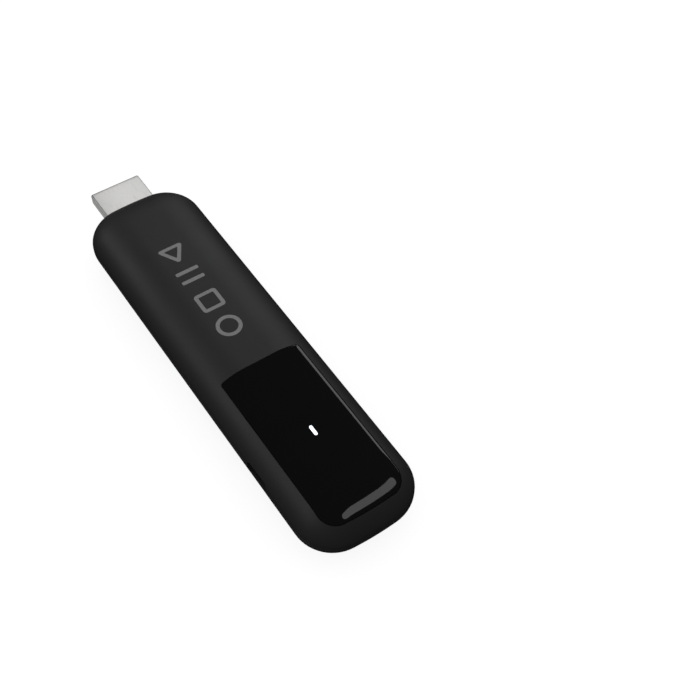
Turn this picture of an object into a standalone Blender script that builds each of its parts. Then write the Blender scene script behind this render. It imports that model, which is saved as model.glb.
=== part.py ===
"""Streaming media player stick: a slim two-shell body with a video plug on one end.

Metres, +Z up.  The stick lies on its rear face at z = 0 with its front face up.  The video plug
points along +Y and the power socket opens toward -X.  The origin is at the middle of the whole
length (plug included), on the surface that the stick lies on.
"""

import math

import bmesh
import bpy

MM = 0.001

# ---- driving dimensions -------------------------------------------------------------------------

BODY_LENGTH = 112.0 * MM
BODY_WIDTH = 29.4 * MM
BODY_THICKNESS = 15.4 * MM
CORNER_RADIUS = 9.6 * MM  # seen from the front, at the seam
FACE_CORNER_RADIUS = 1.5 * MM  # the same corner where the flat of the face begins
END_BULGE = 1.3 * MM  # how far each end bows out, measured across the full width
SHOULDER_INSET = 10.8 * MM  # the rounded shoulder is a quarter ellipse, this wide
SHOULDER_HEIGHT = 7.3 * MM  # and this high
WALL = 2.4 * MM
GAP = 0.3 * MM  # clearance between neighbouring pieces

PANEL_SIDE_RIM = 4.3 * MM  # plain shell left beside a gloss panel
PANEL_END_RIM = 2.9 * MM  # and beyond its far end
PANEL_THICKNESS = 0.8 * MM
PANEL_CORNER = 0.7 * MM  # corners at a panel's straight edge
PANEL_FAR_CORNER = 4.6 * MM  # corners at its far end
FRONT_PANEL_CUT = -8.6 * MM  # straight edge, measured from the middle of the body
REAR_PANEL_CUT = -9.4 * MM
TAPE_THICKNESS = 0.3 * MM
TAPE_MARGIN = 1.2 * MM  # the tape stops this far inside the panel's outline

LIGHT_OFFSET = -31.1 * MM  # status light, measured from the middle of the body
LIGHT_LENGTH = 3.2 * MM
LIGHT_WIDTH = 1.0 * MM
LIGHT_FLANGE = 0.9 * MM
LIGHT_FLANGE_THICKNESS = 0.7 * MM

PLUG_WIDTH = 13.9 * MM
PLUG_HEIGHT = 4.45 * MM
PLUG_REACH = 8.6 * MM  # length that stands out of the body
PLUG_ROOT = 6.5 * MM  # length inside the body
PLUG_WALL = 0.3 * MM
PLUG_CHAMFER = 1.4 * MM
PLUG_LATCH_SPACING = 5.4 * MM
PLUG_LATCH_WIDTH = 1.0 * MM
PLUG_LATCH_LENGTH = 0.8 * MM
PLUG_LATCH_FROM_BODY = 3.4 * MM
PLUG_SLOT_WIDTH = 11.6 * MM
PLUG_SLOT_HEIGHT = 1.7 * MM
PLUG_SLOT_DEPTH = 9.5 * MM
PLUG_COVER_LENGTH = 3.0 * MM

VIDEO_CONTACTS = 19
VIDEO_CONTACT_PITCH = 0.5 * MM
VIDEO_CONTACT_WIDTH = 0.4 * MM
VIDEO_CONTACT_THICKNESS = 0.15 * MM
VIDEO_CONTACT_LENGTH = 8.0 * MM
CONTACT_LIFT = 0.1 * MM  # clearance under a contact strip

SOCKET_OFFSET = -30.7 * MM  # power socket, measured from the middle of the body
SOCKET_WIDTH = 7.5 * MM
SOCKET_HEIGHT = 2.6 * MM
SOCKET_CHAMFER = 0.9 * MM
SOCKET_WALL = 0.25 * MM
SOCKET_DEPTH = 5.0 * MM
SOCKET_RECESS = 0.9 * MM  # mouth of the socket, behind the side of the body
SOCKET_CUTOUT_LENGTH = 8.2 * MM
SOCKET_CUTOUT_HEIGHT = 3.8 * MM
SOCKET_CUTOUT_RADIUS = 1.2 * MM
TONGUE_WIDTH = 4.2 * MM
TONGUE_THICKNESS = 0.6 * MM
TONGUE_DEPTH = 3.6 * MM
POWER_CONTACTS = 5
POWER_CONTACT_PITCH = 0.65 * MM
POWER_CONTACT_WIDTH = 0.35 * MM
POWER_CONTACT_THICKNESS = 0.12 * MM

BOARD_THICKNESS = 1.0 * MM
BOARD_SIDE_CLEARANCE = 1.4 * MM
BOARD_CORNER = 5.0 * MM
BOARD_END_CLEARANCE = 2.6 * MM
SCREW_OFFSETS = (38.0 * MM, -46.5 * MM)  # measured from the middle of the body
SCREW_SHANK = 1.6 * MM
SCREW_HEAD = 3.2 * MM
SCREW_HEAD_HEIGHT = 1.0 * MM
BOSS_DIAMETER = 4.2 * MM
SHIELD_WALL = 0.3 * MM
SHIELD_HEIGHT = 2.4 * MM
PROCESSOR_HEIGHT = 1.0 * MM
PAD_MARGIN = 1.5 * MM
SPREADER_THICKNESS = 0.4 * MM
SPREADER_CLEARANCE = 0.6 * MM  # to the inner face of the shell

CORNER_STEPS = 8
PANEL_CORNER_STEPS = 7
SHOULDER_STEPS = 8
ROUND_STEPS = 24

# ---- places worked out from the driving dimensions ----------------------------------------------

HALF_WIDTH = BODY_WIDTH / 2
HALF_LENGTH = BODY_LENGTH / 2
BODY_Y = -PLUG_REACH / 2
NEAR_Y = BODY_Y + HALF_LENGTH
FAR_Y = BODY_Y - HALF_LENGTH
SEAM_Z = BODY_THICKNESS / 2
END_RADIUS = (HALF_WIDTH**2 + END_BULGE**2) / (2 * END_BULGE)

RECESS_DEPTH = PANEL_THICKNESS + TAPE_THICKNESS + 2 * GAP
BOARD_TOP = SEAM_Z + BOARD_THICKNESS / 2
BOARD_BOTTOM = SEAM_Z - BOARD_THICKNESS / 2
PLUG_TIP_Y = NEAR_Y + PLUG_REACH
PLUG_BACK_Y = NEAR_Y - PLUG_ROOT
COVER_BACK_Y = PLUG_BACK_Y - GAP - PLUG_COVER_LENGTH
BOARD_NEAR_Y = COVER_BACK_Y - GAP
BOARD_FAR_Y = FAR_Y + WALL + BOARD_END_CLEARANCE
BOARD_HALF_WIDTH = HALF_WIDTH - WALL - BOARD_SIDE_CLEARANCE
SOCKET_Y = BODY_Y + SOCKET_OFFSET
SOCKET_MOUTH_X = -HALF_WIDTH + SOCKET_RECESS
LIGHT_Y = BODY_Y + LIGHT_OFFSET

# Colour, roughness and metallic value of each finish.
FINISHES = {
    "matt_shell": ((0.035, 0.035, 0.036), 0.55, 0.0),
    "gloss_panel": ((0.004, 0.004, 0.004), 0.08, 0.0),
    "tape": ((0.75, 0.72, 0.62), 0.6, 0.0),
    "light_guide": ((0.9, 0.92, 0.95), 0.25, 0.0),
    "plug_metal": ((0.62, 0.61, 0.59), 0.28, 1.0),
    "black_resin": ((0.012, 0.012, 0.012), 0.5, 0.0),
    "gold": ((0.83, 0.62, 0.28), 0.25, 1.0),
    "board": ((0.01, 0.09, 0.04), 0.45, 0.0),
    "chip": ((0.02, 0.02, 0.022), 0.4, 0.0),
    "tinned_steel": ((0.56, 0.56, 0.55), 0.35, 1.0),
    "ferrite": ((0.07, 0.07, 0.075), 0.6, 0.0),
    "thermal_pad": ((0.35, 0.42, 0.55), 0.8, 0.0),
    "aluminium": ((0.7, 0.7, 0.71), 0.4, 1.0),
    "screw_steel": ((0.3, 0.3, 0.31), 0.35, 1.0),
}

# ---- scene and helpers --------------------------------------------------------------------------


def clear_scene():
    for scene_object in list(bpy.data.objects):
        bpy.data.objects.remove(scene_object, do_unlink=True)


def new_collection(name):
    collection = bpy.data.collections.new(name)
    bpy.context.scene.collection.children.link(collection)
    return collection


def finish(piece, kind):
    """Give a sub-part a Principled material of its own."""
    colour, roughness, metallic = FINISHES[kind]
    material = bpy.data.materials.new(piece.name)
    material.use_nodes = True
    shader = material.node_tree.nodes["Principled BSDF"]
    shader.inputs["Base Color"].default_value = (*colour, 1.0)
    shader.inputs["Roughness"].default_value = roughness
    shader.inputs["Metallic"].default_value = metallic
    piece.data.materials.append(material)


def add_object(name, bm, kind=None):
    """Turn a bmesh into an object: a sub-part when it has a finish, otherwise a cutter."""
    mesh = bpy.data.meshes.new(name)
    bm.to_mesh(mesh)
    bm.free()
    piece = bpy.data.objects.new(name, mesh)
    if kind is None:
        cutters.objects.link(piece)
        piece.hide_render = True
        piece.display_type = "WIRE"
    else:
        parts.objects.link(piece)
        finish(piece, kind)
    return piece


def add_box(name, size, centre, kind=None):
    bm = bmesh.new()
    bmesh.ops.create_cube(bm, size=1.0)
    bmesh.ops.scale(bm, vec=size, verts=bm.verts)
    piece = add_object(name, bm, kind)
    piece.location = centre
    return piece


def add_cylinder(name, diameter, bottom, top, x, y, kind=None):
    bm = bmesh.new()
    bmesh.ops.create_cone(
        bm,
        cap_ends=True,
        segments=ROUND_STEPS,
        radius1=diameter / 2,
        radius2=diameter / 2,
        depth=top - bottom,
    )
    piece = add_object(name, bm, kind)
    piece.location = (x, y, (bottom + top) / 2)
    return piece


def add_prism(name, outline, bottom, top, kind=None):
    """Extrude a closed outline, listed anticlockwise, from one height to another."""
    bm = bmesh.new()
    face = bm.faces.new([bm.verts.new((x, y, bottom)) for x, y in outline])
    walls = bmesh.ops.extrude_face_region(bm, geom=[face])["geom"]
    raised = [item for item in walls if isinstance(item, bmesh.types.BMVert)]
    bmesh.ops.translate(bm, vec=(0, 0, top - bottom), verts=raised)
    bmesh.ops.recalc_face_normals(bm, faces=bm.faces)
    return add_object(name, bm, kind)


def add_tube(name, outline, length, wall, kind):
    """Make an open tube of a given outer section, running from z = 0 to its length."""
    bm = bmesh.new()
    corners = [bm.verts.new((x, y, 0)) for x, y in outline]
    loop = [bm.edges.new((corners[i - 1], corners[i])) for i in range(len(corners))]
    drawn = bmesh.ops.extrude_edge_only(bm, edges=loop)["geom"]
    raised = [item for item in drawn if isinstance(item, bmesh.types.BMVert)]
    bmesh.ops.translate(bm, vec=(0, 0, length), verts=raised)
    bmesh.ops.recalc_face_normals(bm, faces=bm.faces)
    piece = add_object(name, bm, kind)
    thicken(piece, wall, outside=0.0)
    return piece


def thicken(piece, inside, outside):
    """Solidify an open surface by one depth inward and another outward."""
    modifier = piece.modifiers.new("wall", "SOLIDIFY")
    modifier.thickness = inside + outside
    modifier.offset = 2 * outside / (inside + outside) - 1
    modifier.use_even_offset = True
    return modifier


def combine(piece, other, operation):
    modifier = piece.modifiers.new(other.name, "BOOLEAN")
    modifier.operation = operation
    modifier.object = other
    modifier.solver = "EXACT"


def arc(centre_x, centre_y, radius, start, end, steps):
    """Points along an arc, ends included; the angles are in radians."""
    angles = [start + (end - start) * i / steps for i in range(steps + 1)]
    return [(centre_x + radius * math.cos(a), centre_y + radius * math.sin(a)) for a in angles]


def rounded_rectangle(half_x, half_y, radius, centre_x=0.0, centre_y=0.0, steps=6):
    quarter = math.pi / 2
    points = []
    for turn, (side_x, side_y) in enumerate(((1, 1), (-1, 1), (-1, -1), (1, -1))):
        corner_x = centre_x + side_x * (half_x - radius)
        corner_y = centre_y + side_y * (half_y - radius)
        points += arc(corner_x, corner_y, radius, turn * quarter, (turn + 1) * quarter, steps)
    return points


def capsule(length, width, centre_y):
    """A slot shape on the centre line with its long way along Y."""
    reach = (length - width) / 2
    near = arc(0, centre_y + reach, width / 2, 0, math.pi, 8)
    far = arc(0, centre_y - reach, width / 2, math.pi, 2 * math.pi, 8)
    return near + far


# ---- body outline -------------------------------------------------------------------------------


def end_outline(side_inset, end_inset, radius, direction, steps):
    """One bowed end with its two corners, moved inward from the sides and from the end.

    The direction is 1 for the plug end, whose points run from +X to -X, and -1 for the far end,
    whose points run from -X to +X.  The bow takes two steps fewer than a corner.
    """
    end_radius = END_RADIUS - end_inset
    bow_centre = HALF_LENGTH - END_RADIUS
    corner_x = HALF_WIDTH - side_inset - radius
    corner_y = bow_centre + math.sqrt((end_radius - radius) ** 2 - corner_x**2)
    meet = math.atan2(corner_y - bow_centre, corner_x)
    points = arc(corner_x, corner_y, radius, 0, meet, steps)[:-1]
    points += arc(0, bow_centre, end_radius, meet, math.pi - meet, steps - 2)
    points += arc(-corner_x, corner_y, radius, math.pi - meet, math.pi, steps)[1:]
    return [(direction * x, BODY_Y + direction * y) for x, y in points]


def body_outline(inset):
    """Outline of the body; its corners tighten evenly from the seam to the flat of the face."""
    tighten = (CORNER_RADIUS - FACE_CORNER_RADIUS) / SHOULDER_INSET
    radius = CORNER_RADIUS - tighten * inset
    near = end_outline(inset, inset, radius, 1, CORNER_STEPS)
    return near + end_outline(inset, inset, radius, -1, CORNER_STEPS)


def panel_outline(cut_offset, shrink):
    """Outline of a gloss panel: a straight edge at the cut, then the body's own far end."""
    side_inset = PANEL_SIDE_RIM + shrink
    end_inset = PANEL_END_RIM + shrink
    edge_x = HALF_WIDTH - side_inset - PANEL_CORNER
    edge_y = BODY_Y + cut_offset - shrink - PANEL_CORNER
    right = arc(edge_x, edge_y, PANEL_CORNER, 0, math.pi / 2, 4)
    left = arc(-edge_x, edge_y, PANEL_CORNER, math.pi / 2, math.pi, 4)
    far_corner = PANEL_FAR_CORNER - shrink
    return right + left + end_outline(side_inset, end_inset, far_corner, -1, PANEL_CORNER_STEPS)


def half_skin(name, side, kind=None):
    """The open outer skin of one half, lofted from the seam over the shoulder to the face.

    The side is 1 for the front half, above the seam, and -1 for the rear half, below it.
    """
    straight = BODY_THICKNESS / 2 - SHOULDER_HEIGHT
    levels = [(0.0, GAP / 2)]
    for step in range(SHOULDER_STEPS + 1):
        angle = math.pi / 2 * step / SHOULDER_STEPS
        inset = SHOULDER_INSET * (1 - math.cos(angle))
        levels.append((inset, straight + SHOULDER_HEIGHT * math.sin(angle)))
    bm = bmesh.new()
    rings = []
    for inset, height in levels:
        z = SEAM_Z + side * height
        rings.append([bm.verts.new((x, y, z)) for x, y in body_outline(inset)])
    for lower, upper in zip(rings, rings[1:]):
        for i in range(len(lower)):
            bm.faces.new((lower[i - 1], lower[i], upper[i], upper[i - 1]))
    bm.faces.new(rings[-1])
    if side < 0:
        bmesh.ops.reverse_faces(bm, faces=bm.faces)
    return add_object(name, bm, kind)


# ---- casing -------------------------------------------------------------------------------------


def plug_section(grow):
    """Section of the video plug: full width at the front, chamfered toward the rear."""
    half_x = PLUG_WIDTH / 2 + grow
    half_y = PLUG_HEIGHT / 2 + grow
    chamfer = PLUG_CHAMFER
    return [
        (-half_x, chamfer - half_y),
        (chamfer - half_x, -half_y),
        (half_x - chamfer, -half_y),
        (half_x, chamfer - half_y),
        (half_x, half_y),
        (-half_x, half_y),
    ]


def aim_along_y(piece, y):
    """Stand a section in the XZ plane at a given y, with its length running toward -Y."""
    piece.rotation_euler = (math.pi / 2, 0, 0)
    piece.location = (0, y, SEAM_Z)


def aim_along_x(piece, x):
    """Stand a section in the YZ plane at the power socket, with its length running toward +X."""
    piece.rotation_euler = (math.pi / 2, 0, math.pi / 2)
    piece.location = (x, SOCKET_Y, SEAM_Z)


def make_casing_cutters():
    """Openings that both shells share: the plug hole and the power cut-out."""
    plug_hole = add_prism("plug_hole", plug_section(GAP), -GAP, WALL + CORNER_RADIUS)
    aim_along_y(plug_hole, NEAR_Y)
    cutout = rounded_rectangle(
        SOCKET_CUTOUT_LENGTH / 2, SOCKET_CUTOUT_HEIGHT / 2, SOCKET_CUTOUT_RADIUS
    )
    power_cutout = add_prism("power_cutout", cutout, -GAP, WALL + GAP)
    aim_along_x(power_cutout, -HALF_WIDTH)
    return [plug_hole, power_cutout]


def make_recess_cutter(name, side, cut_offset):
    """The pocket that a gloss panel and its tape sit in, following the crown of the shell."""
    recess = half_skin(name, side)
    thicken(recess, RECESS_DEPTH, outside=PANEL_THICKNESS)
    outline = panel_outline(cut_offset, -GAP)
    column = add_prism(name + "_column", outline, *side_heights(side))
    combine(recess, column, "INTERSECT")
    return recess


def side_heights(side):
    """Bottom and top of a column that crosses one half of the body and reaches past its face."""
    if side > 0:
        return SEAM_Z + GAP, BODY_THICKNESS + WALL
    return -WALL, SEAM_Z - GAP


def make_screw_bosses(front_shell):
    boss_bottom = BOARD_TOP + GAP
    boss_top = BODY_THICKNESS - (WALL + RECESS_DEPTH) / 2
    hole_top = BODY_THICKNESS - WALL
    for number, offset in enumerate(SCREW_OFFSETS, 1):
        place = (0.0, BODY_Y + offset)
        boss = add_cylinder(f"boss_{number}", BOSS_DIAMETER, boss_bottom, boss_top, *place)
        combine(front_shell, boss, "UNION")
        hole_size = SCREW_SHANK + 2 * GAP
        hole = add_cylinder(f"boss_hole_{number}", hole_size, boss_bottom - GAP, hole_top, *place)
        combine(front_shell, hole, "DIFFERENCE")


def make_shells():
    openings = make_casing_cutters()
    front_shell = half_skin("front_shell", 1, "matt_shell")
    rear_shell = half_skin("rear_shell", -1, "matt_shell")
    for shell in (front_shell, rear_shell):
        thicken(shell, WALL, outside=0.0)
        for opening in openings:
            combine(shell, opening, "DIFFERENCE")
    combine(front_shell, make_recess_cutter("front_recess", 1, FRONT_PANEL_CUT), "DIFFERENCE")
    combine(rear_shell, make_recess_cutter("rear_recess", -1, REAR_PANEL_CUT), "DIFFERENCE")
    make_screw_bosses(front_shell)
    combine(front_shell, light_column("light_opening", GAP), "DIFFERENCE")


def light_column(name, grow):
    outline = capsule(LIGHT_LENGTH + 2 * grow, LIGHT_WIDTH + 2 * grow, LIGHT_Y)
    return add_prism(name, outline, BOARD_TOP + GAP, BODY_THICKNESS + WALL)


def make_inlay(name, side, cut_offset, shrink, depth, thickness, kind):
    """A plate that follows the crown of the shell, at a given depth under its surface."""
    inlay = half_skin(name, side, kind)
    thicken(inlay, depth + thickness, outside=0.0)
    outline = panel_outline(cut_offset, shrink)
    combine(inlay, add_prism(name + "_column", outline, *side_heights(side)), "INTERSECT")
    if depth > 0:
        cover = half_skin(name + "_cover", side)
        thicken(cover, depth, outside=PANEL_THICKNESS)
        combine(inlay, cover, "DIFFERENCE")
    if side > 0:
        combine(inlay, light_column(name + "_light_hole", GAP), "DIFFERENCE")


def make_panels():
    tape_depth = PANEL_THICKNESS + GAP
    for name, side, cut in (("front", 1, FRONT_PANEL_CUT), ("rear", -1, REAR_PANEL_CUT)):
        panel = f"{name}_gloss_panel"
        make_inlay(panel, side, cut, 0.0, 0.0, PANEL_THICKNESS, "gloss_panel")
        tape = f"{name}_panel_tape"
        make_inlay(tape, side, cut, TAPE_MARGIN, tape_depth, TAPE_THICKNESS, "tape")


# ---- status light -------------------------------------------------------------------------------


def make_status_light():
    light_height = 0.6 * MM
    light_bottom = BOARD_TOP + GAP
    add_box(
        "status_led",
        (0.8 * MM, 1.6 * MM, light_height),
        (0, LIGHT_Y, light_bottom + light_height / 2),
        "light_guide",
    )
    guide_bottom = light_bottom + light_height + GAP
    outline = capsule(LIGHT_LENGTH, LIGHT_WIDTH, LIGHT_Y)
    guide = add_prism("led_light_guide", outline, guide_bottom, BODY_THICKNESS, "light_guide")
    flange_top = BODY_THICKNESS - WALL - GAP
    flange = add_prism(
        "light_guide_flange",
        capsule(LIGHT_LENGTH + 2 * LIGHT_FLANGE, LIGHT_WIDTH + 2 * LIGHT_FLANGE, LIGHT_Y),
        flange_top - LIGHT_FLANGE_THICKNESS,
        flange_top,
    )
    combine(guide, flange, "UNION")


# ---- video plug ---------------------------------------------------------------------------------


def make_video_plug():
    length = PLUG_REACH + PLUG_ROOT
    shell = add_tube("video_plug_shell", plug_section(0.0), length, PLUG_WALL, "plug_metal")
    aim_along_y(shell, PLUG_TIP_Y)
    for side in (-1, 1):
        latch = add_box(
            "latch_hole_right" if side > 0 else "latch_hole_left",
            (PLUG_LATCH_WIDTH, PLUG_LATCH_LENGTH, PLUG_WALL + 2 * GAP),
            (
                side * PLUG_LATCH_SPACING / 2,
                NEAR_Y + PLUG_LATCH_FROM_BODY,
                SEAM_Z - PLUG_HEIGHT / 2 + PLUG_WALL / 2,
            ),
        )
        combine(shell, latch, "DIFFERENCE")

    insulator_gap = -PLUG_WALL - GAP
    insulator = add_prism(
        "video_plug_insulator",
        plug_section(insulator_gap),
        GAP,
        length - GAP,
        "black_resin",
    )
    aim_along_y(insulator, PLUG_TIP_Y)
    slot = add_box(
        "video_slot",
        (PLUG_SLOT_WIDTH, PLUG_SLOT_DEPTH, PLUG_SLOT_HEIGHT),
        (0, PLUG_TIP_Y - PLUG_SLOT_DEPTH / 2, SEAM_Z),
    )
    combine(insulator, slot, "DIFFERENCE")

    make_video_contacts()

    add_box(
        "video_plug_rear_cover",
        (PLUG_WIDTH - 2 * PLUG_WALL, PLUG_COVER_LENGTH, PLUG_HEIGHT),
        (0, COVER_BACK_Y + PLUG_COVER_LENGTH / 2, SEAM_Z),
        "plug_metal",
    )


def make_video_contacts():
    """Two rows of strips in the plug's slot; odd numbers lie on the front side."""
    first_x = -(VIDEO_CONTACTS - 1) / 2 * VIDEO_CONTACT_PITCH
    lift = PLUG_SLOT_HEIGHT / 2 - CONTACT_LIFT - VIDEO_CONTACT_THICKNESS / 2
    contact_y = PLUG_TIP_Y - 2 * GAP - VIDEO_CONTACT_LENGTH / 2
    for number in range(1, VIDEO_CONTACTS + 1):
        row = 1 if number % 2 else -1
        add_box(
            f"video_contact_{number:02d}",
            (VIDEO_CONTACT_WIDTH, VIDEO_CONTACT_LENGTH, VIDEO_CONTACT_THICKNESS),
            (first_x + (number - 1) * VIDEO_CONTACT_PITCH, contact_y, SEAM_Z + row * lift),
            "gold",
        )


# ---- power socket -------------------------------------------------------------------------------


def socket_section():
    """Section of the power socket: full width at the front, chamfered toward the rear."""
    half_x = SOCKET_WIDTH / 2
    half_y = SOCKET_HEIGHT / 2
    return [
        (half_x, half_y),
        (-half_x, half_y),
        (-half_x, -half_y + SOCKET_CHAMFER),
        (-half_x + SOCKET_CHAMFER, -half_y),
        (half_x - SOCKET_CHAMFER, -half_y),
        (half_x, -half_y + SOCKET_CHAMFER),
    ]


def make_power_socket():
    shell = add_tube("power_socket_shell", socket_section(), SOCKET_DEPTH, SOCKET_WALL, "plug_metal")
    aim_along_x(shell, SOCKET_MOUTH_X)
    tongue_x = SOCKET_MOUTH_X + SOCKET_DEPTH - TONGUE_DEPTH / 2
    tongue_z = SEAM_Z + SOCKET_HEIGHT / 2 - SOCKET_WALL - GAP - TONGUE_THICKNESS / 2
    add_box(
        "power_socket_tongue",
        (TONGUE_DEPTH, TONGUE_WIDTH, TONGUE_THICKNESS),
        (tongue_x, SOCKET_Y, tongue_z),
        "black_resin",
    )
    first_y = SOCKET_Y - (POWER_CONTACTS - 1) / 2 * POWER_CONTACT_PITCH
    contact_z = tongue_z - TONGUE_THICKNESS / 2 - CONTACT_LIFT - POWER_CONTACT_THICKNESS / 2
    for number in range(POWER_CONTACTS):
        add_box(
            f"power_contact_{number + 1}",
            (TONGUE_DEPTH - GAP, POWER_CONTACT_WIDTH, POWER_CONTACT_THICKNESS),
            (tongue_x, first_y + number * POWER_CONTACT_PITCH, contact_z),
            "gold",
        )


# ---- circuit board ------------------------------------------------------------------------------


def make_board():
    middle_y = (BOARD_NEAR_Y + BOARD_FAR_Y) / 2
    half_length = (BOARD_NEAR_Y - BOARD_FAR_Y) / 2
    outline = rounded_rectangle(BOARD_HALF_WIDTH, half_length, BOARD_CORNER, 0, middle_y)
    board = add_prism("main_board", outline, BOARD_BOTTOM, BOARD_TOP, "board")
    notch_depth = SOCKET_MOUTH_X + SOCKET_DEPTH + GAP + BOARD_HALF_WIDTH
    notch = add_box(
        "socket_notch",
        (2 * notch_depth, SOCKET_WIDTH + 2 * GAP, 3 * BOARD_THICKNESS),
        (-BOARD_HALF_WIDTH, SOCKET_Y, SEAM_Z),
    )
    combine(board, notch, "DIFFERENCE")
    for number, offset in enumerate(SCREW_OFFSETS, 1):
        hole = add_cylinder(
            f"board_hole_{number}",
            SCREW_SHANK + 2 * GAP,
            BOARD_BOTTOM - GAP,
            BOARD_TOP + GAP,
            0.0,
            BODY_Y + offset,
        )
        combine(board, hole, "DIFFERENCE")


def make_screws():
    """Screws that hold the board up against the front shell's bosses."""
    head_top = BOARD_BOTTOM - GAP
    shank_top = BODY_THICKNESS - WALL - GAP
    for number, offset in enumerate(SCREW_OFFSETS, 1):
        place = (0.0, BODY_Y + offset)
        head_bottom = head_top - SCREW_HEAD_HEIGHT
        screw = add_cylinder(
            f"board_screw_{number}", SCREW_HEAD, head_bottom, head_top, *place, "screw_steel"
        )
        shank_bottom = head_top - SCREW_HEAD_HEIGHT / 2
        shank = add_cylinder(f"shank_{number}", SCREW_SHANK, shank_bottom, shank_top, *place)
        combine(screw, shank, "UNION")


def add_component(name, size, x, offset, side, kind):
    """Lay a box-shaped component on one side of the board; the offset is from the body's middle."""
    surface = BOARD_TOP + GAP if side > 0 else BOARD_BOTTOM - GAP
    centre_z = surface + side * size[2] / 2
    return add_box(name, size, (x, BODY_Y + offset, centre_z), kind)


def add_shield_can(name, size_x, size_y, offset, side):
    """A lidded frame over the chips, open toward the board."""
    can = add_component(
        name, (size_x, size_y, SHIELD_HEIGHT), 0.0, offset, side, "tinned_steel"
    )
    hollow_size = (size_x - 2 * SHIELD_WALL, size_y - 2 * SHIELD_WALL, SHIELD_HEIGHT)
    hollow = add_box(name + "_hollow", hollow_size, can.location)
    hollow.location.z -= side * SHIELD_WALL
    combine(can, hollow, "DIFFERENCE")
    return can.location.z + side * SHIELD_HEIGHT / 2


def make_cooling(name, can_face, size_x, size_y, offset, side):
    """A thin metal plate close to the shell, and a soft pad between it and the shield can."""
    shell_face = SEAM_Z + side * (BODY_THICKNESS / 2 - WALL)
    plate_z = shell_face - side * (SPREADER_CLEARANCE + SPREADER_THICKNESS / 2)
    pad_thickness = abs(plate_z - can_face) - SPREADER_THICKNESS / 2 - 2 * GAP
    pad_z = can_face + side * (GAP + pad_thickness / 2)
    add_box(
        f"{name}_thermal_pad",
        (size_x - 2 * PAD_MARGIN, size_y - 2 * PAD_MARGIN, pad_thickness),
        (0, BODY_Y + offset, pad_z),
        "thermal_pad",
    )
    add_box(
        f"{name}_heat_spreader",
        (size_x, size_y, SPREADER_THICKNESS),
        (0, BODY_Y + offset, plate_z),
        "aluminium",
    )


def make_components():
    processor = add_component(
        "processor_chip", (13 * MM, 13 * MM, PROCESSOR_HEIGHT), 0, 17.5 * MM, 1, "chip"
    )
    add_component("memory_chip", (11 * MM, 8 * MM, 0.9 * MM), 0, 4.0 * MM, 1, "chip")
    add_component("power_inductor_1", (3 * MM, 3 * MM, 1.8 * MM), 5 * MM, -9 * MM, 1, "ferrite")
    add_component("power_inductor_2", (3 * MM, 3 * MM, 1.8 * MM), -5 * MM, -9 * MM, 1, "ferrite")
    crystal_size = (3.2 * MM, 2.5 * MM, 0.8 * MM)
    add_component("clock_crystal", crystal_size, 0, -9 * MM, 1, "tinned_steel")
    antenna_size = (6 * MM, 2.2 * MM, 1.2 * MM)
    add_component("wifi_antenna", antenna_size, 6 * MM, -41 * MM, 1, "gold")
    add_component("bluetooth_antenna", antenna_size, -6 * MM, -41 * MM, 1, "gold")
    add_component("storage_chip", (13 * MM, 11.5 * MM, 0.9 * MM), 0, 18 * MM, -1, "chip")
    add_component("power_chip", (5 * MM, 5 * MM, 0.8 * MM), 0, 6 * MM, -1, "chip")
    module_size = (12 * MM, 12 * MM, 1.6 * MM)
    add_component("wireless_module", module_size, 3 * MM, -16 * MM, -1, "tinned_steel")

    front_face = add_shield_can("front_shield_can", 17 * MM, 28 * MM, 12 * MM, 1)
    rear_face = add_shield_can("rear_shield_can", 17 * MM, 24 * MM, 14 * MM, -1)
    make_cooling("front", front_face, 12 * MM, 32 * MM, 12 * MM, 1)
    make_cooling("rear", rear_face, 12 * MM, 28 * MM, 14 * MM, -1)

    chip_top = processor.location.z + PROCESSOR_HEIGHT / 2
    lid_underside = front_face - SHIELD_WALL
    pad_thickness = lid_underside - chip_top - 2 * GAP
    add_box(
        "processor_thermal_pad",
        (10 * MM, 10 * MM, pad_thickness),
        (0, processor.location.y, chip_top + GAP + pad_thickness / 2),
        "thermal_pad",
    )


# ---- build --------------------------------------------------------------------------------------

clear_scene()
parts = new_collection("streaming_media_player")
cutters = new_collection("cutters")

make_shells()
make_panels()
make_status_light()
make_video_plug()
make_power_socket()
make_board()
make_screws()
make_components()
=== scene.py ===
"""Looks of a streaming media player stick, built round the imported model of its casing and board."""
import math

import bmesh
import bpy
from mathutils import Matrix, Vector


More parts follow.
